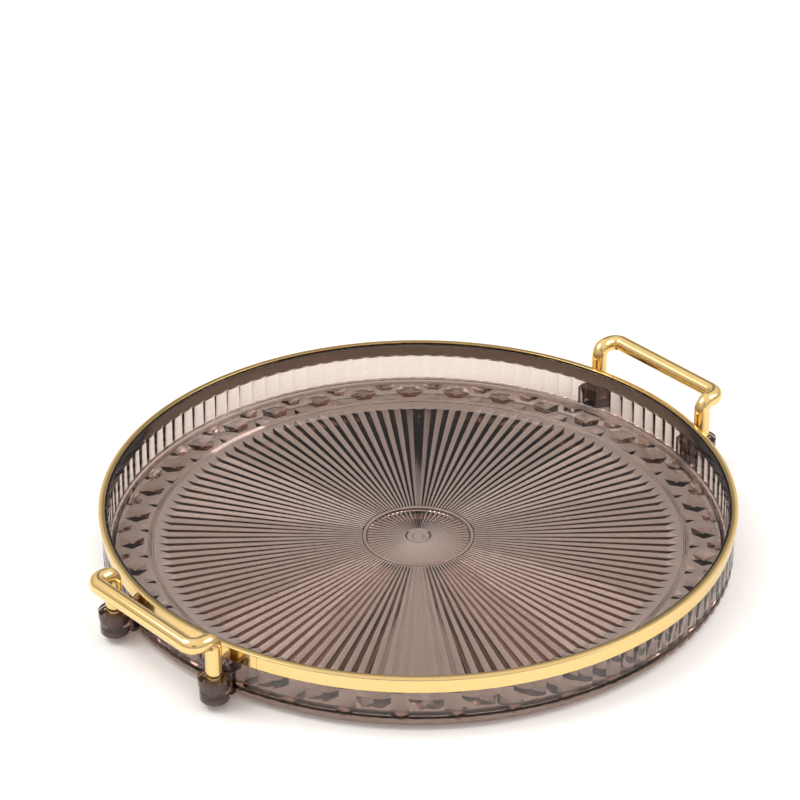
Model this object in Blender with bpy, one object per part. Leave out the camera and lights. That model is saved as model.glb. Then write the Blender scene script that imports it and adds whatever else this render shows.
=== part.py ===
"""Round dresser vanity tray: a clear moulded dish, a metal rim hoop and two bent rod handles.

The tray stands on its foot ring at z = 0, with its centre on the Z axis and a handle at each end of X.
"""

import math

import bmesh
import bpy
from mathutils import Matrix, Vector

MM = 0.001
GAP = 0.3

# Driving dimensions in millimetres. Levels are heights above the surface that the tray stands on.
RIM_RADIUS = 160.0
RIM_TOP = 30.4
RIM_LEDGE_WIDTH = 3.0
RIM_LEDGE_THICKNESS = 0.8
RIM_SKIRT_RADIUS = 158.9
RIM_SKIRT_THICKNESS = 0.6
RIM_SKIRT_BOTTOM = 21.8
RIM_EDGE = 0.3

FLUTES = 120
FLUTE_PEAK_RADIUS = 158.7
FLUTE_VALLEY_RADIUS = 157.8
FLUTE_BOTTOM = 8.4
WALL_INNER_RADIUS = 155.3
FLOOR_TOP = 8.4
FLOOR_BOTTOM = 5.7
FLOOR_FILLET = 1.8

FOOT_STEP = 6.7
FOOT_GROOVE = 7.5
FOOT_BAND_BOTTOM = 4.5
FOOT_OUTER_RADIUS = 154.0
FOOT_INNER_RADIUS = 152.4

CENTRE_BOSS_RADIUS = 5.9
MEDALLION_RING = (25.9, 28.4)
BEAD_RING = (133.4, 136.0)
RELIEF = 0.7

ROD_RADIUS = 4.15
POST_X = 163.7
POST_Y = 38.2
BAR_X = 175.8
BAR_AXIS = 37.7
POST_BEND = 4.6
BAR_BEND = 5.7

SOCKET_TOP = 16.8
SOCKET_BOTTOM = 3.4
SOCKET_LIP_RADIUS = 7.85
SOCKET_LIP_HEIGHT = 4.0
SOCKET_RADIUS = 7.3
SOCKET_ROUNDING = 2.0
SOCKET_FLOOR = 9.4
WEB_WIDTH = 11.4
WEB_TOP = 17.4
COUNTERBORE_RADIUS = 4.1
COUNTERBORE_TOP = 6.0

SCREW_RADIUS = 1.7
SCREW_HEAD_RADIUS = 3.6
SCREW_HEAD_HEIGHT = 2.2
SCREW_LENGTH = 11.5
RECESS_LENGTH = 4.0
RECESS_WIDTH = 0.9
RECESS_DEPTH = 1.2

# A ring of the outer wall has two points to each flute, and a smooth ring has one.
FINE = 2 * FLUTES
COARSE = FLUTES


def clear_scene():
    for obj in list(bpy.data.objects):
        bpy.data.objects.remove(obj, do_unlink=True)


def make_material(name, colour, metallic, roughness, transmission=0.0):
    material = bpy.data.materials.new(name)
    material.use_nodes = True
    shader = material.node_tree.nodes["Principled BSDF"]
    shader.inputs["Base Color"].default_value = (*colour, 1.0)
    shader.inputs["Metallic"].default_value = metallic
    shader.inputs["Roughness"].default_value = roughness
    shader.inputs["Transmission Weight"].default_value = transmission
    material.diffuse_color = (*colour, 1.0)
    return material


def place_mesh(name, bm, material=None, smooth_angle=35.0):
    """Turn a bmesh in millimetres into a named object in metres."""
    bmesh.ops.recalc_face_normals(bm, faces=bm.faces)
    bmesh.ops.scale(bm, vec=(MM, MM, MM), verts=bm.verts)
    mesh = bpy.data.meshes.new(name)
    bm.to_mesh(mesh)
    bm.free()
    mesh.shade_smooth()
    mesh.set_sharp_from_angle(angle=math.radians(smooth_angle))
    if material:
        mesh.materials.append(material)
    obj = bpy.data.objects.new(name, mesh)
    bpy.context.collection.objects.link(obj)
    return obj


def add_ring(bm, radii, z, count):
    """Add a ring of points, taking the radii in turn, and return it."""
    ring = []
    for i in range(count):
        radius = radii[i % len(radii)]
        angle = 2 * math.pi * i / count
        ring.append(bm.verts.new((radius * math.cos(angle), radius * math.sin(angle), z)))
    return ring


def skin_rings(bm, first, second):
    """Fill the band between two rings, of which one may have twice the points of the other."""
    if len(first) < len(second):
        first, second = second, first
    step = len(first) // len(second)
    count = len(second)
    for i in range(count):
        near = second[i]
        far = second[(i + 1) % count]
        span = [first[(i * step + k) % len(first)] for k in range(step + 1)]
        if step == 1:
            bm.faces.new((*span, far, near))
            continue
        middle = span[1]
        bm.faces.new((span[0], middle, near))
        bm.faces.new((middle, far, near))
        bm.faces.new((middle, span[2], far))


def turned(bm, rings, closed=False):
    """Skin a row of rings. A closed row joins its last ring to its first; an open one is capped."""
    for first, second in zip(rings, rings[1:]):
        skin_rings(bm, first, second)
    if closed:
        skin_rings(bm, rings[-1], rings[0])
        return
    for ring in (rings[0], rings[-1]):
        centre = bm.verts.new((0.0, 0.0, ring[0].co.z))
        for i, corner in enumerate(ring):
            bm.faces.new((centre, corner, ring[(i + 1) % len(ring)]))


def turned_profile(profile, count, centre=(0.0, 0.0)):
    """A solid of revolution about a vertical axis, from (radius, height) points."""
    bm = bmesh.new()
    turned(bm, [add_ring(bm, (radius,), z, count) for radius, z in profile])
    bmesh.ops.translate(bm, vec=(*centre, 0.0), verts=bm.verts)
    return bm


def box_mesh(size, centre):
    bm = bmesh.new()
    bmesh.ops.create_cube(bm, size=1.0)
    bmesh.ops.scale(bm, vec=size, verts=bm.verts)
    bmesh.ops.translate(bm, vec=centre, verts=bm.verts)
    return bm


def arc(centre, radius, start, end, steps):
    """Points of an arc in a plane, from the start angle to the end angle, in degrees."""
    points = []
    for i in range(steps + 1):
        angle = math.radians(start + (end - start) * i / steps)
        points.append((centre[0] + radius * math.cos(angle), centre[1] + radius * math.sin(angle)))
    return points


def hide_helper(obj, collection):
    for owner in list(obj.users_collection):
        owner.objects.unlink(obj)
    collection.objects.link(obj)
    obj.hide_render = True
    obj.display_type = "WIRE"


def helper_collection(name):
    collection = bpy.data.collections.new(name)
    bpy.context.scene.collection.children.link(collection)
    return collection


def combine(target, operation, collection):
    """Add an exact Boolean of the target with everything in a collection of helpers."""
    modifier = target.modifiers.new(collection.name, "BOOLEAN")
    modifier.operation = operation
    modifier.solver = "EXACT"
    modifier.operand_type = "COLLECTION"
    modifier.collection = collection


def post_places():
    """The four post axes, as (name, x, y)."""
    places = []
    for side in (1, -1):
        for end in (1, -1):
            places.append((f"{len(places) + 1}", side * POST_X, end * POST_Y))
    return places


def underside_rings(bm):
    """The floor's underside from the foot inwards: a flat with three raised rings."""
    raised = FLOOR_BOTTOM - RELIEF
    rings = []
    for inner, outer in (BEAD_RING, MEDALLION_RING):
        middle = (inner + outer) / 2
        for radius, z in ((outer, FLOOR_BOTTOM), (middle, raised), (inner, FLOOR_BOTTOM)):
            rings.append(add_ring(bm, (radius,), z, COARSE))
    rings.append(add_ring(bm, (CENTRE_BOSS_RADIUS,), FLOOR_BOTTOM, COARSE))
    rings.append(add_ring(bm, (CENTRE_BOSS_RADIUS - RELIEF,), raised, COARSE))
    return rings


def make_dish(material):
    """The tray's moulding without its sockets, turned ring by ring from the floor's top outwards."""
    bm = bmesh.new()
    flute = (FLUTE_PEAK_RADIUS, FLUTE_VALLEY_RADIUS)
    foot = (FLUTE_PEAK_RADIUS, FLUTE_VALLEY_RADIUS + 0.45)
    seat_radius = RIM_SKIRT_RADIUS - RIM_SKIRT_THICKNESS - GAP
    seat_bottom = RIM_SKIRT_BOTTOM - GAP
    wall_top = RIM_TOP - RIM_LEDGE_THICKNESS - GAP
    corner = arc((WALL_INNER_RADIUS - FLOOR_FILLET, FLOOR_TOP + FLOOR_FILLET), FLOOR_FILLET, -90, 0, 2)
    rings = [add_ring(bm, (radius,), z, COARSE) for radius, z in corner]
    rings.append(add_ring(bm, (WALL_INNER_RADIUS,), wall_top, COARSE))
    rings.append(add_ring(bm, (seat_radius,), wall_top, COARSE))
    rings.append(add_ring(bm, (seat_radius,), seat_bottom, COARSE))
    rings.append(add_ring(bm, flute, seat_bottom, FINE))
    rings.append(add_ring(bm, flute, FLUTE_BOTTOM, FINE))
    rings.append(add_ring(bm, (FLUTE_VALLEY_RADIUS,), FOOT_GROOVE, COARSE))
    rings.append(add_ring(bm, foot, FOOT_STEP, FINE))
    rings.append(add_ring(bm, foot, FOOT_BAND_BOTTOM, FINE))
    rings.append(add_ring(bm, (FOOT_OUTER_RADIUS,), 0.0, COARSE))
    rings.append(add_ring(bm, (FOOT_INNER_RADIUS,), 0.0, COARSE))
    rings.append(add_ring(bm, (FOOT_INNER_RADIUS,), FLOOR_BOTTOM, COARSE))
    rings.extend(underside_rings(bm))
    turned(bm, rings)
    return place_mesh("tray_body", bm, material)


def make_socket(name, x, y, solids, holes):
    """One handle socket on the wall: a cup with a lip, the web behind it and the stepped hole in it."""
    lip_bottom = SOCKET_TOP - SOCKET_LIP_HEIGHT
    round_centre = (SOCKET_RADIUS - SOCKET_ROUNDING, SOCKET_BOTTOM + SOCKET_ROUNDING)
    profile = [(SOCKET_LIP_RADIUS, SOCKET_TOP), (SOCKET_LIP_RADIUS, lip_bottom)]
    profile.append((SOCKET_RADIUS, lip_bottom))
    profile.extend(arc(round_centre, SOCKET_ROUNDING, 0, -90, 3))
    cup = place_mesh(f"socket_cup_{name}", turned_profile(profile, 32, (x, y)))
    hide_helper(cup, solids)

    reach = math.hypot(x, y)
    inner = WALL_INNER_RADIUS + 1.2
    outer = reach - SOCKET_RADIUS + 1.2
    size = (outer - inner, WEB_WIDTH, WEB_TOP - SOCKET_BOTTOM - 1.0)
    centre = ((inner + outer) / 2, 0.0, (WEB_TOP + SOCKET_BOTTOM + 1.0) / 2)
    web_mesh = box_mesh(size, centre)
    turn = Matrix.Rotation(math.atan2(y, x), 3, "Z")
    bmesh.ops.rotate(web_mesh, cent=(0.0, 0.0, 0.0), matrix=turn, verts=web_mesh.verts)
    web = place_mesh(f"socket_web_{name}", web_mesh)
    hide_helper(web, solids)

    post_hole = ROD_RADIUS + GAP
    screw_hole = SCREW_RADIUS + GAP
    profile = [(post_hole, WEB_TOP + 5.0), (post_hole, SOCKET_FLOOR), (screw_hole, SOCKET_FLOOR)]
    profile.append((screw_hole, COUNTERBORE_TOP))
    profile.append((COUNTERBORE_RADIUS, COUNTERBORE_TOP))
    profile.append((COUNTERBORE_RADIUS, -1.0))
    hole = place_mesh(f"socket_hole_{name}", turned_profile(profile, 24, (x, y)))
    hide_helper(hole, holes)


def make_tray_body(material):
    dish = make_dish(material)
    solids = helper_collection("socket_solids")
    holes = helper_collection("socket_holes")
    for name, x, y in post_places():
        make_socket(name, x, y, solids, holes)
    combine(dish, "UNION", solids)
    combine(dish, "DIFFERENCE", holes)


def make_rim_band(material):
    """The hoop over the wall's top edge: a flat ledge with a skirt down the outside."""
    ledge_inner = RIM_RADIUS - RIM_LEDGE_WIDTH
    ledge_under = RIM_TOP - RIM_LEDGE_THICKNESS
    skirt_inner = RIM_SKIRT_RADIUS - RIM_SKIRT_THICKNESS
    section = [
        (ledge_inner + RIM_EDGE, RIM_TOP),
        (RIM_RADIUS - RIM_EDGE, RIM_TOP),
        (RIM_RADIUS, RIM_TOP - RIM_EDGE),
        (RIM_RADIUS, ledge_under),
        (RIM_SKIRT_RADIUS, ledge_under),
        (RIM_SKIRT_RADIUS, RIM_SKIRT_BOTTOM),
        (skirt_inner, RIM_SKIRT_BOTTOM),
        (skirt_inner, ledge_under),
        (ledge_inner, ledge_under),
        (ledge_inner, RIM_TOP - RIM_EDGE),
    ]
    bm = bmesh.new()
    turned(bm, [add_ring(bm, (radius,), z, COARSE) for radius, z in section], closed=True)
    place_mesh("rim_band", bm, material, smooth_angle=25.0)


def handle_route(side):
    """The rod's centre line: up one post, out over the rim, along the bar and down the other post."""
    rise = arc((POST_X + POST_BEND, BAR_AXIS - POST_BEND), POST_BEND, 180, 90, 6)
    turn = arc((BAR_X - BAR_BEND, POST_Y - BAR_BEND), BAR_BEND, 90, 0, 6)
    half = [Vector((side * POST_X, POST_Y, SOCKET_FLOOR + GAP))]
    half.extend(Vector((side * x, POST_Y, z)) for x, z in rise)
    half.extend(Vector((side * x, y, BAR_AXIS)) for x, y in turn)
    mirrored = [Vector((point.x, -point.y, point.z)) for point in reversed(half)]
    return half + mirrored


def make_handle(name, side, material):
    """A bent round rod with a screw hole up each post."""
    curve = bpy.data.curves.new(name, "CURVE")
    curve.dimensions = "3D"
    curve.bevel_depth = ROD_RADIUS * MM
    curve.bevel_resolution = 4
    curve.use_fill_caps = True
    spline = curve.splines.new("POLY")
    route = handle_route(side)
    spline.points.add(len(route) - 1)
    for point, place in zip(spline.points, route):
        point.co = (*(place * MM), 1.0)
    rod = bpy.data.objects.new(name + "_route", curve)
    bpy.context.collection.objects.link(rod)
    bpy.context.view_layer.update()
    mesh = bpy.data.meshes.new_from_object(rod.evaluated_get(bpy.context.evaluated_depsgraph_get()))
    bpy.data.objects.remove(rod, do_unlink=True)

    bm = bmesh.new()
    bm.from_mesh(mesh)
    bmesh.ops.remove_doubles(bm, verts=bm.verts, dist=1e-6)
    bmesh.ops.scale(bm, vec=(1 / MM, 1 / MM, 1 / MM), verts=bm.verts)
    handle = place_mesh(name, bm, material)

    holes = helper_collection(name + "_holes")
    hole_top = COUNTERBORE_TOP - GAP + SCREW_LENGTH + GAP
    profile = [(SCREW_RADIUS + GAP, hole_top), (SCREW_RADIUS + GAP, 0.0)]
    for end in (1, -1):
        place = (side * POST_X, end * POST_Y)
        hole = place_mesh(f"{name}_hole_{end}", turned_profile(profile, 16, place))
        hide_helper(hole, holes)
    combine(handle, "DIFFERENCE", holes)


def make_screw(name, x, y, material):
    """A pan-head screw, head down, with a cross recess in the head."""
    head_top = COUNTERBORE_TOP - GAP
    head_bottom = head_top - SCREW_HEAD_HEIGHT
    edge = SCREW_HEAD_HEIGHT * 0.6
    profile = [(SCREW_RADIUS - 0.4, head_top + SCREW_LENGTH), (SCREW_RADIUS, head_top + SCREW_LENGTH - 1.0)]
    profile.append((SCREW_RADIUS, head_top))
    profile.append((SCREW_HEAD_RADIUS, head_top))
    profile.extend(arc((SCREW_HEAD_RADIUS - edge, head_bottom + edge), edge, 0, -90, 3))
    screw = place_mesh(f"handle_screw_{name}", turned_profile(profile, 24, (x, y)), material)

    recess = helper_collection(f"recess_{name}")
    depth = 2 * RECESS_DEPTH
    for size in ((RECESS_LENGTH, RECESS_WIDTH, depth), (RECESS_WIDTH, RECESS_LENGTH, depth)):
        bar = place_mesh(f"recess_bar_{name}", box_mesh(size, (x, y, head_bottom)))
        hide_helper(bar, recess)
    combine(screw, "DIFFERENCE", recess)


def build():
    clear_scene()
    smoke = make_material("smoky_clear_plastic", (0.42, 0.34, 0.30), 0.0, 0.05, 0.9)
    gold = make_material("polished_gold", (0.86, 0.60, 0.24), 1.0, 0.12)
    steel = make_material("zinc_plated_steel", (0.62, 0.62, 0.60), 1.0, 0.3)
    make_tray_body(smoke)
    make_rim_band(gold)
    make_handle("handle_right", 1, gold)
    make_handle("handle_left", -1, gold)
    for name, x, y in post_places():
        make_screw(name, x, y, steel)


build()
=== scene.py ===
import math

import bmesh
import bpy
from mathutils import Matrix, Quaternion, Vector
from mathutils.geometry import delaunay_2d_cdt


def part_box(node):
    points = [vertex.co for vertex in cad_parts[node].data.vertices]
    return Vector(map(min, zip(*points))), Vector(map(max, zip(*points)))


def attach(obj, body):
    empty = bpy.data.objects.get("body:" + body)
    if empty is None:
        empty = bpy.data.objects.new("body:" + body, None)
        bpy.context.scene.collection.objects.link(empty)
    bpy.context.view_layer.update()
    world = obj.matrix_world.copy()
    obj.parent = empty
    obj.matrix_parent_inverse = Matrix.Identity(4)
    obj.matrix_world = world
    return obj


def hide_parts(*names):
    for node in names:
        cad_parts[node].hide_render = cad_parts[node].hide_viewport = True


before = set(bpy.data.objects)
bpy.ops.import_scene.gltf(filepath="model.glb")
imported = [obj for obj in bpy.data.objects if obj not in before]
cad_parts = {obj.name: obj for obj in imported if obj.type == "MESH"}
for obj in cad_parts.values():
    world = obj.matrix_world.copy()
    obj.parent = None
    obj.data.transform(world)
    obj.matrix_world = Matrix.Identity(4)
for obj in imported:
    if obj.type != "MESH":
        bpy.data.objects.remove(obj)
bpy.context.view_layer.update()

MM = 0.001
TURN = 2 * math.pi


def node_box(name):
    """A CAD node's lowest and highest corner, in millimetres."""
    low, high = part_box(name)
    return Vector(low) / MM, Vector(high) / MM


# Sizes in millimetres, from the frame where a node's box gives them.
RIM_LOW, RIM_HIGH = node_box("rim_band")
HANDLE_LOW, HANDLE_HIGH = node_box("handle_right")
SCREW_TOP = node_box("handle_screw_1")[1].z

RIM_RADIUS = RIM_HIGH.x
RIM_TOP = RIM_HIGH.z
SKIRT_BOTTOM = RIM_LOW.z
LEDGE_WIDTH = 3.0
LEDGE_THICKNESS = 0.8
LEDGE_FALL = 0.36
HOOP_EDGE = 0.2
SKIRT_RADIUS = RIM_RADIUS - 1.1
SKIRT_THICKNESS = 0.6
NECK_DEPTH = 0.3
NECK_HEIGHT = 0.9
SEAM = math.radians(199.5)
SEAM_WIDTH = math.radians(0.035)
SEAM_DEPTH = 0.22
GAP = 0.3

ROD_RADIUS = 4.15
POST_X = HANDLE_LOW.x + ROD_RADIUS
POST_Y = HANDLE_HIGH.y - ROD_RADIUS
BAR_X = HANDLE_HIGH.x - ROD_RADIUS
BAR_AXIS = HANDLE_HIGH.z - ROD_RADIUS
POST_BOTTOM = HANDLE_LOW.z
POST_BEND = 4.6
BAR_BEND = 5.7

FLUTES = 120
FLUTE_PEAK = 158.7
FLUTE_DEPTH = 0.6
FLUTE_BOTTOM = 8.4
WALL_INNER = 155.3
FLOOR_TOP = 8.4
PLAIN = 5.7
FILLET = 1.8
FOOT_STEP = 6.7
GROOVE_DEPTH = 1.3
FOOT_BAND_BOTTOM = 4.5
FOOT_OUTER = 154.0
FOOT_INNER = 152.4

BOSS_RADIUS = 5.9
BOSS_RING = 2.9
BOSS_DEPTH = 0.4
FINE_RIBS = 60
FINE_RIB_START = 6.6
FINE_RIB_END = 25.5
FINE_RIB_SLOPE = math.radians(14)
CONE_START = 0.8
CONE_END = -1.25
MEDALLION_RING = (25.9, 28.4)
RIBS = 120
RIB_START = 28.9
RIB_KINK = 126.1
RIB_TIP = 131.1
RIB_SLOPE = math.radians(21.6)
BEADS = (133.4, 134.7, 136.0)
BEAD_HEIGHT = 0.65
FACET_CELLS = 36
FACET_INNER = 136.6
FACET_DEPTH = 2.2
HALF_CELL = 180 / FACET_CELLS
INNER_FACET_CREST = 137.6
INNER_FACET_END = 141.6
OUTER_FACET_END = 145.4
OUTER_FACET_CREST = 149.6

SOCKET_TOP = 16.8
SOCKET_BOTTOM = 3.4
SOCKET_LIP = 7.85
SOCKET_LIP_HEIGHT = 4.0
SOCKET_RADIUS = 7.3
SOCKET_ROUNDING = 2.0
SOCKET_FLOOR = POST_BOTTOM - GAP
SOCKET_CHAMFER = 0.4
# Below this height the posts and socket walls are dark cement, which is also painted shade for the socket
# bores.
CEMENT_AND_SHADE_TOP = SOCKET_TOP - SOCKET_CHAMFER
WEB_WIDTH = 11.4
WEB_TOP = 17.4
WEB_OVERLAP = 1.2
COUNTERBORE = 4.1
COUNTERBORE_TOP = 6.0
SCREW_RADIUS = 1.7

# Edges sharper than this many degrees stay sharp.
TRAY_SMOOTHING = 28
HOOP_SMOOTHING = 25
ROD_SMOOTHING = 40
HELPER_SMOOTHING = 35
PATTERN_SMOOTHING = 1

# The direction in plan that the camera looks along, and the room's opening that lies there: the
# sines of the angles from that direction at which its soft edge begins and ends.
HEADING = math.radians(48.11)
OPENING_EDGE = (0.12, 0.2)


# ---------------------------------------------------------------- mesh tools


def even_angles(count):
    return [TURN * i / count for i in range(count)]


def value_at(rule, angle):
    return rule(angle) if callable(rule) else rule


def ring(bm, angles, radius, z):
    """A ring of (angle, vertex). The radius and height are numbers, or functions of the angle."""
    points = []
    for angle in angles:
        r = value_at(radius, angle)
        place = (r * math.cos(angle), r * math.sin(angle), value_at(z, angle))
        points.append((angle, bm.verts.new(place)))
    return points


def zip_rings(bm, first, second):
    """Fill the band between two rings, whose points need not line up."""
    a = first + [(first[0][0] + TURN, first[0][1])]
    b = second + [(second[0][0] + TURN, second[0][1])]
    i = 0
    j = 0
    while i < len(first) or j < len(second):
        next_a = a[i + 1][0] if i < len(first) else math.inf
        next_b = b[j + 1][0] if j < len(second) else math.inf
        if abs(next_a - next_b) < 1e-5:
            bm.faces.new((a[i][1], a[i + 1][1], b[j + 1][1], b[j][1]))
            i += 1
            j += 1
        elif next_a < next_b:
            bm.faces.new((a[i][1], a[i + 1][1], b[j][1]))
            i += 1
        else:
            bm.faces.new((a[i][1], b[j + 1][1], b[j][1]))
            j += 1


def zip_all(bm, rings):
    for first, second in zip(rings, rings[1:]):
        zip_rings(bm, first, second)


def cap(bm, edge_ring, z):
    """Close a ring with a fan to a point on the axis."""
    centre = bm.verts.new((0.0, 0.0, z))
    for i, (_, vert) in enumerate(edge_ring):
        bm.faces.new((centre, vert, edge_ring[(i + 1) % len(edge_ring)][1]))


def arc(centre, radius, start, end, steps):
    """Points of an arc in a plane, with its angles in degrees."""
    points = []
    for i in range(steps + 1):
        angle = math.radians(start + (end - start) * i / steps)
        points.append((centre[0] + radius * math.cos(angle), centre[1] + radius * math.sin(angle)))
    return points


def half_round(inner, outer, level, height, steps):
    """The profile of a bead that stands down from a level, from its outer edge to its inner edge."""
    middle = (inner + outer) / 2
    half = (outer - inner) / 2
    points = []
    for i in range(steps + 1):
        angle = math.pi * i / steps
        points.append((middle + half * math.cos(angle), level - height * math.sin(angle)))
    return points


def turned(profile, count, place=(0.0, 0.0)):
    """A solid of revolution from (radius, height) points, moved to a place in plan."""
    bm = bmesh.new()
    rings = [ring(bm, even_angles(count), r, z) for r, z in profile]
    zip_all(bm, rings)
    cap(bm, rings[0], profile[0][1])
    cap(bm, rings[-1], profile[-1][1])
    bmesh.ops.translate(bm, vec=(*place, 0.0), verts=bm.verts)
    return bm


def piece_from(name, bm, smooth_angle, materials=()):
    """Turn a bmesh in millimetres into an object in metres, smooth but for its sharp edges."""
    bmesh.ops.recalc_face_normals(bm, faces=bm.faces)
    bmesh.ops.scale(bm, vec=(MM, MM, MM), verts=bm.verts)
    mesh = bpy.data.meshes.new(name)
    bm.to_mesh(mesh)
    bm.free()
    mesh.shade_smooth()
    mesh.set_sharp_from_angle(angle=math.radians(smooth_angle))
    for material in materials:
        mesh.materials.append(material)
    obj = bpy.data.objects.new(name, mesh)
    bpy.context.collection.objects.link(obj)
    return obj


def combine(obj, operation, helpers, smooth_angle):
    """Join helpers to an object or cut them from it, and keep the result as its mesh."""
    for helper in helpers:
        modifier = obj.modifiers.new(helper.name, "BOOLEAN")
        modifier.operation = operation
        modifier.solver = "EXACT"
        modifier.object = helper
    bpy.context.view_layer.update()
    evaluated = obj.evaluated_get(bpy.context.evaluated_depsgraph_get())
    mesh = bpy.data.meshes.new_from_object(evaluated)
    obj.modifiers.clear()
    obj.data = mesh
    mesh.shade_smooth()
    mesh.set_sharp_from_angle(angle=math.radians(smooth_angle))
    for helper in helpers:
        bpy.data.objects.remove(helper, do_unlink=True)


# ---------------------------------------------------------------- materials


class Nodes:
    """A material's node tree, with short ways to add and link nodes."""

    def __init__(self, name):
        self.material = bpy.data.materials.new(name)
        self.material.use_nodes = True
        self.tree = self.material.node_tree
        self.shader = self.tree.nodes["Principled BSDF"]
        self.output = self.tree.nodes["Material Output"]
        self.place = self.add("ShaderNodeTexCoord").outputs["Object"]

    def add(self, kind, **settings):
        node = self.tree.nodes.new(kind)
        for key, value in settings.items():
            setattr(node, key, value)
        return node

    def link(self, source, target):
        self.tree.links.new(source, target)

    def set(self, **values):
        for key, value in values.items():
            self.shader.inputs[key.replace("_", " ").title().replace("Ior", "IOR")].default_value = value

    def noise(self, scale, detail=3.0):
        node = self.add("ShaderNodeTexNoise")
        node.inputs["Scale"].default_value = scale
        node.inputs["Detail"].default_value = detail
        self.link(self.place, node.inputs["Vector"])
        return node.outputs["Fac"]

    def ramp(self, source, low, high):
        """Map a 0 to 1 value to a range of numbers."""
        node = self.add("ShaderNodeMapRange")
        node.inputs["To Min"].default_value = low
        node.inputs["To Max"].default_value = high
        self.link(source, node.inputs["Value"])
        return node.outputs["Result"]

    def blend(self, source, low, high):
        """Map a 0 to 1 value to a range of colours."""
        node = self.add("ShaderNodeMix", data_type="RGBA")
        node.inputs["A"].default_value = (*low, 1.0)
        node.inputs["B"].default_value = (*high, 1.0)
        self.link(source, node.inputs["Factor"])
        return node.outputs["Result"]

    def bump(self, source, distance):
        node = self.add("ShaderNodeBump")
        node.inputs["Distance"].default_value = distance
        self.link(source, node.inputs["Height"])
        self.link(node.outputs["Normal"], self.shader.inputs["Normal"])


def smoky_plastic():
    """Clear moulded plastic with a brown-grey tint that deepens with thickness."""
    nodes = Nodes("smoky_plastic")
    nodes.set(transmission_weight=1.0, ior=1.55)
    nodes.shader.inputs["Base Color"].default_value = (1.0, 1.0, 1.0, 1.0)
    nodes.link(nodes.ramp(nodes.noise(60.0), 0.0, 0.05), nodes.shader.inputs["Roughness"])
    nodes.bump(nodes.noise(35.0, detail=1.0), 0.00002)
    absorption = nodes.add("ShaderNodeVolumeAbsorption")
    absorption.inputs["Color"].default_value = (0.44, 0.20, 0.08, 1.0)
    absorption.inputs["Density"].default_value = 152.0
    nodes.link(absorption.outputs["Volume"], nodes.output.inputs["Volume"])
    return nodes.material


def plated_gold():
    """Gold plating, mirror bright with a faint ripple and a slight shift of tone."""
    nodes = Nodes("plated_gold")
    nodes.set(metallic=1.0)
    tone = nodes.blend(nodes.noise(22.0), (0.81, 0.60, 0.27), (0.77, 0.55, 0.23))
    nodes.link(tone, nodes.shader.inputs["Base Color"])
    nodes.link(nodes.ramp(nodes.noise(140.0), 0.07, 0.16), nodes.shader.inputs["Roughness"])
    nodes.bump(nodes.noise(90.0, detail=2.0), 0.000012)
    return nodes.material


def matt_brown(name, low, high):
    """A matt brown: the cement in the sockets, darkened as painted shade in the bores, and the painted
    shade on the hoop's neck and back, where no gold shows.
    """
    nodes = Nodes(name)
    nodes.link(nodes.blend(nodes.noise(300.0), low, high), nodes.shader.inputs["Base Color"])
    nodes.link(nodes.ramp(nodes.noise(200.0), 0.35, 0.6), nodes.shader.inputs["Roughness"])
    return nodes.material


def plated_steel():
    """Zinc-plated screw steel with fine turning marks."""
    nodes = Nodes("plated_steel")
    nodes.set(metallic=1.0)
    tone = nodes.blend(nodes.noise(500.0), (0.52, 0.52, 0.50), (0.70, 0.70, 0.67))
    nodes.link(tone, nodes.shader.inputs["Base Color"])
    nodes.link(nodes.ramp(nodes.noise(900.0), 0.22, 0.42), nodes.shader.inputs["Roughness"])
    nodes.bump(nodes.noise(1500.0), 0.00003)
    return nodes.material


def pale_ground():
    nodes = Nodes("pale_ground")
    tone = nodes.blend(nodes.noise(3.0), (0.93, 0.93, 0.93), (0.95, 0.95, 0.95))
    nodes.link(tone, nodes.shader.inputs["Base Color"])
    nodes.set(roughness=0.9)
    return nodes.material


# ---------------------------------------------------------------- tray body


def fluted(peak, depth):
    """The radius at an angle of a wall with convex flutes that meet in sharp valleys."""

    def radius(angle):
        across = (angle * FLUTES / TURN + 0.5) % 1.0 * 2 - 1
        return peak - depth * across**2

    return radius


def flute_angles():
    """Angles around the wall, closer together towards each valley."""
    across = (0.0, 0.3, 0.55, 0.75, 0.88, 1.0, 1.12, 1.25, 1.45, 1.7)
    pitch = TURN / FLUTES
    return [pitch * (i + step / 2) for i in range(FLUTES) for step in across]


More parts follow.
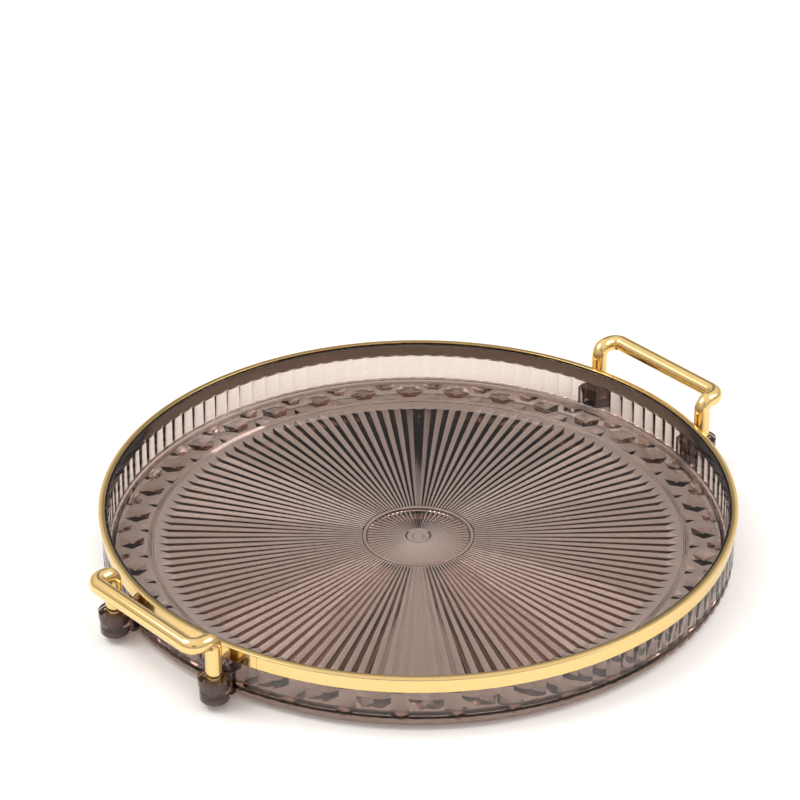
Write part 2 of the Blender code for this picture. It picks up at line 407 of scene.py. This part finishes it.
def outer_wall(bm):
    """Rings from the wall's top edge down over the flutes and the foot to the foot's inner edge.

    The edges are eased by 0.1 to 0.3 mm. The flutes run on down the foot at half their depth.
    """
    smooth = even_angles(480)
    fine = flute_angles()
    seat_radius = SKIRT_RADIUS - SKIRT_THICKNESS - GAP
    seat_bottom = SKIRT_BOTTOM - GAP
    wall_top = RIM_TOP - LEDGE_THICKNESS - GAP
    valley = FLUTE_PEAK - FLUTE_DEPTH
    flute = fluted(FLUTE_PEAK, FLUTE_DEPTH)
    foot = fluted(FLUTE_PEAK, FLUTE_DEPTH / 2)
    return [
        ring(bm, smooth, WALL_INNER, wall_top - 0.3),
        ring(bm, smooth, WALL_INNER + 0.1, wall_top - 0.1),
        ring(bm, smooth, WALL_INNER + 0.3, wall_top),
        ring(bm, smooth, seat_radius, wall_top),
        ring(bm, smooth, seat_radius, seat_bottom),
        ring(bm, fine, flute, seat_bottom),
        ring(bm, fine, flute, FLUTE_BOTTOM + 0.3),
        ring(bm, fine, fluted(FLUTE_PEAK - 0.25, FLUTE_DEPTH), FLUTE_BOTTOM),
        ring(bm, smooth, valley - GROOVE_DEPTH, FLUTE_BOTTOM - 0.15),
        ring(bm, smooth, valley - GROOVE_DEPTH, FOOT_STEP + 0.15),
        ring(bm, fine, fluted(FLUTE_PEAK - 0.2, FLUTE_DEPTH / 2), FOOT_STEP),
        ring(bm, fine, foot, FOOT_STEP - 0.25),
        ring(bm, fine, foot, FOOT_BAND_BOTTOM),
        ring(bm, smooth, FOOT_OUTER + 0.3, 0.3),
        ring(bm, smooth, FOOT_OUTER, 0.0),
        ring(bm, smooth, FOOT_INNER, 0.0),
    ]


def cell_outlines():
    """Half of one facet cell and of its neighbours, as chains of (radius, degrees, share of depth)."""
    main_edge = [(138.2, 0.0, 0), (138.2, 1.3, 0), (144.0, 3.0, 0), (150.4, 1.75, 0), (150.4, 0.0, 0)]
    main_crest = [(143.0, 0.0, 1), (143.0, 0.25, 1), (144.0, 0.5, 1), (145.0, 0.25, 1), (145.0, 0.0, 1)]
    inner_edge = [(FACET_INNER, 3.2, 0)]
    inner_edge += [(INNER_FACET_END, degrees, 0) for degrees in (4.1, HALF_CELL)]
    inner_crest = [(FACET_INNER, 4.5, 0.5)]
    inner_crest += [(INNER_FACET_CREST, degrees, 0.5) for degrees in (4.75, HALF_CELL)]
    outer_edge = [(FOOT_INNER, 3.2, 0), (150.4, 2.9, 0)]
    outer_edge += [(OUTER_FACET_END, degrees, 0) for degrees in (4.1, HALF_CELL)]
    outer_crest = [(FOOT_INNER, 4.65, 1), (150.4, 4.5, 1)]
    outer_crest += [(OUTER_FACET_CREST, degrees, 1) for degrees in (4.75, HALF_CELL)]
    hips = [[main_edge[k], main_crest[k]] for k in (1, 2, 3)]
    hips += [[inner_edge[1], inner_crest[1]]]
    hips += [[outer_edge[k], outer_crest[k]] for k in (1, 2)]
    return [main_edge, main_crest, inner_edge, inner_crest, outer_edge, outer_crest, *hips]


def cell_boundary():
    """The half cell's sides along the facet ring's inner and outer edge and along its own flank."""
    inner = [(FACET_INNER, degrees, 0) for degrees in (0.0, 1.6, 3.2)]
    inner += [(FACET_INNER, degrees, 0.5) for degrees in (4.5, HALF_CELL)]
    flank = [(INNER_FACET_CREST, HALF_CELL, 0.5), (INNER_FACET_END, HALF_CELL, 0)]
    flank += [(OUTER_FACET_END, HALF_CELL, 0), (OUTER_FACET_CREST, HALF_CELL, 1)]
    outer = [(FOOT_INNER, degrees, 1) for degrees in (HALF_CELL, 4.65)]
    outer += [(FOOT_INNER, degrees, 0) for degrees in (3.2, 1.6, 0.0)]
    return inner + flank + outer


def mirrored(chain):
    return [(r, -degrees, share) for r, degrees, share in chain]


def facet_cell():
    """One facet cell's (x, y, z) points and triangles, about the X axis."""
    half = cell_boundary()
    boundary = half + mirrored(reversed(half[1:-1]))
    chains = cell_outlines()
    chains += [mirrored(chain) for chain in chains]
    index = {}
    for point in boundary + [point for chain in chains for point in chain]:
        index.setdefault(point, len(index))
    points = list(index)
    flat = []
    for r, degrees, _ in points:
        angle = math.radians(degrees)
        flat.append(Vector((r * math.cos(angle), r * math.sin(angle))))
    edges = []
    for chain in chains:
        edges += [(index[start], index[end]) for start, end in zip(chain, chain[1:])]
    outline = [index[point] for point in boundary]
    spots, _, triangles, sources, _, _ = delaunay_2d_cdt(flat, edges, [outline], 1, 1e-5)
    places = []
    for spot, made_from in zip(spots, sources):
        share = points[made_from[0]][2] if made_from else 0
        places.append(Vector((spot.x, spot.y, PLAIN - FACET_DEPTH * share)))
    return places, triangles


def facet_ring(bm):
    """The ring of cut facets. It returns its outer and its inner edge as rings."""
    places, triangles = facet_cell()
    made = {}
    edges = {FOOT_INNER: {}, FACET_INNER: {}}
    for k in range(FACET_CELLS):
        turn = Matrix.Rotation(TURN * k / FACET_CELLS, 3, "Z")
        corners = []
        for place in places:
            spot = turn @ place
            key = (round(spot.x, 3), round(spot.y, 3))
            if key not in made:
                made[key] = bm.verts.new(spot)
            corners.append(made[key])
            for radius, found in edges.items():
                if abs(math.hypot(spot.x, spot.y) - radius) < 0.01:
                    found[key] = (math.atan2(spot.y, spot.x) % TURN, made[key])
        for triangle in triangles:
            bm.faces.new([corners[i] for i in triangle])
    return [sorted(found.values(), key=lambda point: point[0]) for found in edges.values()]


def ridge_height(radius, slope, ridges, level=PLAIN):
    """The height at an angle, on a circle, of roof-shaped ridges that stand down from a level."""
    depth_at_crest = radius * math.tan(math.pi / ridges) * math.tan(slope)

    def height(angle):
        across = abs((angle * ridges / TURN + 0.5) % 1.0 * 2 - 1)
        return level - depth_at_crest * (1 - across)

    return height


def pointed_ends(bm, tips, kink):
    """Close each ridge with a hip that runs out to a point. The kink ring has a crest, then a valley."""
    count = len(tips)
    for i in range(count):
        crest, valley, next_crest = (kink[(2 * i + k) % len(kink)][1] for k in range(3))
        tip = tips[i][1]
        next_tip = tips[(i + 1) % count][1]
        bm.faces.new((crest, valley, tip))
        bm.faces.new((valley, next_tip, tip))
        bm.faces.new((valley, next_crest, next_tip))


def underside(bm):
    """The moulded pattern from the facet ring in to the centre. It returns the outermost ring."""
    facets_outer, facets_inner = facet_ring(bm)
    smooth = even_angles(2 * RIBS)
    rings = [facets_inner, ring(bm, [angle for angle, _ in facets_inner], FACET_INNER - 0.1, PLAIN)]
    for inner, outer in ((BEADS[1], BEADS[2]), (BEADS[0], BEADS[1])):
        profile = half_round(inner, outer, PLAIN, BEAD_HEIGHT, 6)
        rings += [ring(bm, smooth, r, z) for r, z in profile[:-1]]
    rings.append(ring(bm, smooth, BEADS[0], PLAIN))
    tips = ring(bm, even_angles(RIBS), RIB_TIP, PLAIN)
    rings.append(tips)
    zip_all(bm, rings)

    kink = ring(bm, smooth, RIB_KINK, ridge_height(RIB_KINK, RIB_SLOPE, RIBS))
    pointed_ends(bm, tips, kink)
    rings = [kink, ring(bm, smooth, RIB_START, ridge_height(RIB_START, RIB_SLOPE, RIBS))]
    rings += [ring(bm, smooth, r, z) for r, z in half_round(*MEDALLION_RING, PLAIN, BEAD_HEIGHT, 8)]
    fine = even_angles(2 * FINE_RIBS)
    for radius, offset in ((FINE_RIB_END, CONE_END), (FINE_RIB_START, CONE_START)):
        height = ridge_height(radius, FINE_RIB_SLOPE, FINE_RIBS, PLAIN + offset)
        rings.append(ring(bm, fine, radius, height))
    boss = [(BOSS_RADIUS + 0.15, 0.0), (BOSS_RADIUS - 0.15, -BOSS_DEPTH)]
    boss += [(BOSS_RING + 0.2, -BOSS_DEPTH), (BOSS_RING, 0.0), (BOSS_RING - 0.2, -BOSS_DEPTH)]
    rings += [ring(bm, fine, radius, PLAIN + offset) for radius, offset in boss]
    zip_all(bm, rings)
    cap(bm, rings[-1], PLAIN - BOSS_DEPTH)
    return facets_outer


def socket_helpers(x, y):
    """The cup and web to join to the wall, and the stepped hole to cut."""
    lip_bottom = SOCKET_TOP - SOCKET_LIP_HEIGHT
    cup = [(SOCKET_LIP - 0.3, SOCKET_TOP), (SOCKET_LIP, SOCKET_TOP - 0.3)]
    cup += [(SOCKET_LIP, lip_bottom + 0.2), (SOCKET_RADIUS, lip_bottom - 0.1)]
    corner = (SOCKET_RADIUS - SOCKET_ROUNDING, SOCKET_BOTTOM + SOCKET_ROUNDING)
    cup += arc(corner, SOCKET_ROUNDING, 0, -90, 8)
    solids = [piece_from("socket_cup", turned(cup, 96, (x, y)), HELPER_SMOOTHING)]

    reach = math.hypot(x, y)
    inner = WALL_INNER + WEB_OVERLAP
    outer = reach - SOCKET_RADIUS + WEB_OVERLAP
    web = bmesh.new()
    bmesh.ops.create_cube(web, size=1.0)
    low = SOCKET_BOTTOM + 1.0
    bmesh.ops.scale(web, vec=(outer - inner, WEB_WIDTH, WEB_TOP - low), verts=web.verts)
    bmesh.ops.bevel(web, geom=list(web.edges), offset=0.35, segments=3, affect="EDGES")
    bmesh.ops.translate(web, vec=((inner + outer) / 2, 0.0, (WEB_TOP + low) / 2), verts=web.verts)
    turn = Matrix.Rotation(math.atan2(y, x), 3, "Z")
    bmesh.ops.rotate(web, cent=(0.0, 0.0, 0.0), matrix=turn, verts=web.verts)
    solids.append(piece_from("socket_web", web, HELPER_SMOOTHING))

    post = ROD_RADIUS + GAP
    screw = SCREW_RADIUS + GAP
    mouth = post + SOCKET_CHAMFER
    profile = [(mouth, WEB_TOP + 5.0), (mouth, SOCKET_TOP), (post, SOCKET_TOP - SOCKET_CHAMFER)]
    profile += [(post, SOCKET_FLOOR), (screw, SOCKET_FLOOR), (screw, COUNTERBORE_TOP)]
    profile += [(COUNTERBORE, COUNTERBORE_TOP), (COUNTERBORE, -1.0)]
    hole = piece_from("socket_hole", turned(profile, 64, (x, y)), HELPER_SMOOTHING)
    return solids, hole


def crease(obj, zones):
    """Make the edges of the moulded pattern sharp in the zones that hold flat faces."""
    bm = bmesh.new()
    bm.from_mesh(obj.data)
    for edge in bm.edges:
        low = max(vert.co.z for vert in edge.verts) < (PLAIN + 0.05) * MM
        reach = [math.hypot(vert.co.x, vert.co.y) / MM for vert in edge.verts]
        flat = any(inner - 0.05 < min(reach) and max(reach) < outer + 0.05 for inner, outer in zones)
        if low and flat and edge.calc_face_angle(0.0) > math.radians(PATTERN_SMOOTHING):
            edge.smooth = False
    bm.to_mesh(obj.data)
    bm.free()


def line_sockets_with_shade(obj):
    """Give the walls of the socket holes the second material, the dark cement that also paints shade into
    the bores.
    """
    posts = [(side * POST_X * MM, end * POST_Y * MM) for side in (1, -1) for end in (1, -1)]
    reach = (ROD_RADIUS + GAP + 0.1) * MM
    for face in obj.data.polygons:
        x, y, z = face.center
        near = any(math.hypot(x - post_x, y - post_y) < reach for post_x, post_y in posts)
        if near and SOCKET_BOTTOM + 0.3 < z / MM < SOCKET_TOP - 0.6:
            face.material_index = 1


def make_tray_body(plastic, cement_and_shade):
    bm = bmesh.new()
    corner = arc((WALL_INNER - FILLET, FLOOR_TOP + FILLET), FILLET, -90, 0, 8)
    rings = [ring(bm, even_angles(240), r, z) for r, z in corner]
    rings += outer_wall(bm)
    zip_all(bm, rings)
    cap(bm, rings[0], FLOOR_TOP)
    zip_rings(bm, rings[-1], underside(bm))
    tray = piece_from("tray_moulding", bm, TRAY_SMOOTHING, [plastic, cement_and_shade])
    solids = []
    holes = []
    for side in (1, -1):
        for end in (1, -1):
            made, hole = socket_helpers(side * POST_X, end * POST_Y)
            solids += made
            holes.append(hole)
    combine(tray, "UNION", solids, TRAY_SMOOTHING)
    combine(tray, "DIFFERENCE", holes, TRAY_SMOOTHING)
    crease(tray, ((FINE_RIB_START, FINE_RIB_END), (RIB_START, RIB_TIP), (FACET_INNER, FOOT_INNER)))
    line_sockets_with_shade(tray)
    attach(tray, "root")
    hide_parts("tray_body")


# ---------------------------------------------------------------- rim and handles


def make_rim(gold, painted_shade_material):
    """The hoop: a ledge that falls a little outward, a skirt under it, and the butt seam in the skirt.

    The dark line under the ledge is a neck in the skirt, its shade painted on. It and the hidden back
    take the second material, a painted shade.
    """
    seam_angles = [SEAM + share * SEAM_WIDTH for share in (-1, -1 / 3, 1 / 3, 1)]
    around = sorted(even_angles(480) + seam_angles)

    def seamed(radius):
        def at(angle):
            return radius - (SEAM_DEPTH if abs(angle - SEAM) < SEAM_WIDTH / 2 else 0.0)

        return at

    inner = RIM_RADIUS - LEDGE_WIDTH
    under = RIM_TOP - LEDGE_THICKNESS
    skirt_inner = SKIRT_RADIUS - SKIRT_THICKNESS
    neck = SKIRT_RADIUS - NECK_DEPTH
    profile = arc((inner + HOOP_EDGE, RIM_TOP - HOOP_EDGE), HOOP_EDGE, 180, 90, 5)
    profile += arc((RIM_RADIUS - HOOP_EDGE, RIM_TOP - HOOP_EDGE - LEDGE_FALL), HOOP_EDGE, 90, 0, 5)
    profile += arc((RIM_RADIUS - HOOP_EDGE, under + HOOP_EDGE), HOOP_EDGE, 0, -90, 5)
    neck_from = len(profile)
    profile += [(neck, under), (neck, under - NECK_HEIGHT), (SKIRT_RADIUS, under - NECK_HEIGHT - 0.2)]
    profile += [(SKIRT_RADIUS, SKIRT_BOTTOM + 0.15), (SKIRT_RADIUS - 0.15, SKIRT_BOTTOM)]
    back_from = len(profile)
    profile += [(skirt_inner, SKIRT_BOTTOM), (skirt_inner, under)]
    profile += [(inner + 0.4, under), (inner, under + 0.2)]
    bm = bmesh.new()
    rings = []
    for r, z in profile:
        on_skirt = abs(r - SKIRT_RADIUS) < NECK_DEPTH + 0.1 and z < under + 0.01
        rings.append(ring(bm, around, seamed(r) if on_skirt else r, z))
    zip_all(bm, rings)
    zip_rings(bm, rings[-1], rings[0])
    # The neck's dark line and the skirt's hidden back take the brown second material as painted shade.
    for start in (neck_from, back_from):
        painted_shade_verts = {vert for row in rings[start : start + 3] for _, vert in row}
        for face in bm.faces:
            if all(vert in painted_shade_verts for vert in face.verts):
                face.material_index = 1
    rim = piece_from("rim_hoop", bm, HOOP_SMOOTHING, [gold, painted_shade_material])
    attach(rim, "root")
    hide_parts("rim_band")


def handle_route(side):
    """The rod's centre line: up one post, out over the rim, along the bar and down the other post."""
    rise = arc((POST_X + POST_BEND, BAR_AXIS - POST_BEND), POST_BEND, 180, 90, 14)
    turn = arc((BAR_X - BAR_BEND, POST_Y - BAR_BEND), BAR_BEND, 90, 0, 14)
    half = [Vector((side * POST_X, POST_Y, z)) for z in (POST_BOTTOM, CEMENT_AND_SHADE_TOP)]
    half += [Vector((side * x, POST_Y, z)) for x, z in rise]
    half += [Vector((side * x, y, BAR_AXIS)) for x, y in turn]
    return half + [Vector((point.x, -point.y, point.z)) for point in reversed(half)]


def swept_rod(route, radius, sides):
    """A round rod along a route, each of its rings square to the route."""
    bm = bmesh.new()
    rings = []
    across = Vector((0.0, 1.0, 0.0))
    for i, place in enumerate(route):
        before = route[max(i - 1, 0)]
        after = route[min(i + 1, len(route) - 1)]
        along = (after - before).normalized()
        across = (across - along * across.dot(along)).normalized()
        up = along.cross(across)
        spots = [place + radius * (math.cos(a) * across + math.sin(a) * up) for a in even_angles(sides)]
        rings.append([(a, bm.verts.new(spot)) for a, spot in zip(even_angles(sides), spots)])
    zip_all(bm, rings)
    bm.faces.new([vert for _, vert in rings[0]])
    bm.faces.new([vert for _, vert in rings[-1]])
    return bm


def make_handle(name, node, side, gold, cement_and_shade):
    """A handle's rod, plated down to its bed in the sockets, where it turns dark as cement and painted
    shade, with a screw hole up each post.
    """
    rod = piece_from(name, swept_rod(handle_route(side), ROD_RADIUS, 48), ROD_SMOOTHING, [gold, cement_and_shade])
    profile = [(SCREW_RADIUS + GAP, SCREW_TOP + GAP), (SCREW_RADIUS + GAP, 0.0)]
    holes = []
    for end in (1, -1):
        hole = turned(profile, 24, (side * POST_X, end * POST_Y))
        holes.append(piece_from("post_hole", hole, HELPER_SMOOTHING))
    combine(rod, "DIFFERENCE", holes, ROD_SMOOTHING)
    # Below the socket's mouth the rod takes the dark cement, which also paints the bore's shade.
    for face in rod.data.polygons:
        if face.center.z < CEMENT_AND_SHADE_TOP * MM:
            face.material_index = 1
    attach(rod, "root")
    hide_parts(node)


# ---------------------------------------------------------------- stage, light and camera


def make_ground(material):
    bm = bmesh.new()
    bmesh.ops.create_grid(bm, x_segments=2, y_segments=2, size=4000.0)
    ground = piece_from("ground", bm, HELPER_SMOOTHING, [material])


def sky_ramp(tree, height, stops):
    """The sky's colour by height, from (height, brightness) stops."""
    ramp = tree.nodes.new("ShaderNodeValToRGB")
    tree.links.new(height, ramp.inputs["Fac"])
    while len(ramp.color_ramp.elements) < len(stops):
        ramp.color_ramp.elements.new(0.5)
    for element, (position, value) in zip(ramp.color_ramp.elements, stops):
        element.position = position
        element.color = (value, value * 0.95, value * 0.91, 1.0)
    return ramp.outputs["Color"]


def make_world():
    """A pale room with a bright ceiling. Its dark opening behind the tray is what the floor reflects."""
    world = bpy.data.worlds.new("room")
    bpy.context.scene.world = world
    world.use_nodes = True
    tree = world.node_tree
    background = tree.nodes["Background"]
    place = tree.nodes.new("ShaderNodeTexCoord").outputs["Generated"]
    split = tree.nodes.new("ShaderNodeSeparateXYZ")
    tree.links.new(place, split.inputs["Vector"])
    height = split.outputs["Z"]
    walls = sky_ramp(tree, height, ((0.0, 0.5), (0.2, 0.65), (0.5, 0.92), (0.74, 1.05), (1.0, 1.05)))
    opening = sky_ramp(tree, height, ((0.3, 0.6), (0.38, 0.3), (0.6, 0.3), (0.7, 0.95), (1.0, 1.15)))
    sideways = tree.nodes.new("ShaderNodeVectorMath")
    sideways.operation = "DOT_PRODUCT"
    sideways.inputs[1].default_value = (-math.sin(HEADING), math.cos(HEADING), 0.0)
    tree.links.new(place, sideways.inputs[0])
    distance = tree.nodes.new("ShaderNodeMath")
    distance.operation = "ABSOLUTE"
    tree.links.new(sideways.outputs["Value"], distance.inputs[0])
    edge = tree.nodes.new("ShaderNodeMapRange")
    edge.inputs["From Min"].default_value, edge.inputs["From Max"].default_value = OPENING_EDGE
    tree.links.new(distance.outputs["Value"], edge.inputs["Value"])
    mix = tree.nodes.new("ShaderNodeMix")
    mix.data_type = "RGBA"
    tree.links.new(edge.outputs["Result"], mix.inputs["Factor"])
    tree.links.new(opening, mix.inputs["A"])
    tree.links.new(walls, mix.inputs["B"])
    tree.links.new(mix.outputs["Result"], background.inputs["Color"])
    background.inputs["Strength"].default_value = 1.05


def soft_light(name, place, target, size, watts):
    data = bpy.data.lights.new(name, "AREA")
    data.shape = "RECTANGLE"
    data.size, data.size_y = size
    data.energy = watts
    light = bpy.data.objects.new(name, data)
    bpy.context.collection.objects.link(light)
    light.location = place
    light.rotation_euler = (Vector(target) - Vector(place)).to_track_quat("-Z", "Y").to_euler()


def make_lights():
    soft_light("key_soft_light", (-0.9, 0.7, 1.6), (0.0, 0.0, 0.0), (1.0, 1.0), 16.0)
    soft_light("fill_soft_light", (1.0, -0.9, 1.3), (0.0, 0.0, 0.0), (0.9, 0.9), 10.0)


def make_camera():
    """A long lens, 32 degrees above the ground, that looks a little above the tray."""
    elevation = math.radians(31.98)
    distance = 1.904
    target = Vector((0.0, 0.0, RIM_TOP * MM))
    away = Vector((math.cos(HEADING), math.sin(HEADING), 0.0))
    sight = away * math.cos(elevation) - Vector((0.0, 0.0, math.sin(elevation)))
    data = bpy.data.cameras.new("camera")
    data.lens = 170.9
    data.sensor_width = 36.0
    camera = bpy.data.objects.new("camera", data)
    bpy.context.collection.objects.link(camera)
    camera.location = target - sight * distance
    aim = sight.to_track_quat("-Z", "Y")
    pitch = Quaternion((1.0, 0.0, 0.0), math.radians(1.462))
    yaw = Quaternion((0.0, 1.0, 0.0), math.radians(0.275))
    camera.rotation_mode = "QUATERNION"
    camera.rotation_quaternion = aim @ yaw @ pitch
    bpy.context.scene.camera = camera


def build():
    gold = plated_gold()
    # The dark cement also serves as painted shade in the socket bores.
    cement_and_shade = matt_brown("dark_cement_and_painted_shade", (0.16, 0.10, 0.088), (0.22, 0.145, 0.125))
    make_tray_body(smoky_plastic(), cement_and_shade)
    # The hoop's second material is a pale brown painted shade for its neck line and hidden back.
    make_rim(gold, matt_brown("hoop_painted_shade", (0.60, 0.49, 0.40), (0.68, 0.56, 0.46)))
    make_handle("handle_rod_right", "handle_right", 1, gold, cement_and_shade)
    make_handle("handle_rod_left", "handle_left", -1, gold, cement_and_shade)
    steel = plated_steel()
    for i in range(1, 5):
        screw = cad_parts[f"handle_screw_{i}"]
        for slot in screw.material_slots:
            slot.material = steel
    make_ground(pale_ground())
    make_world()
    make_lights()
    make_camera()
    bpy.context.scene.view_settings.view_transform = "Standard"


build()
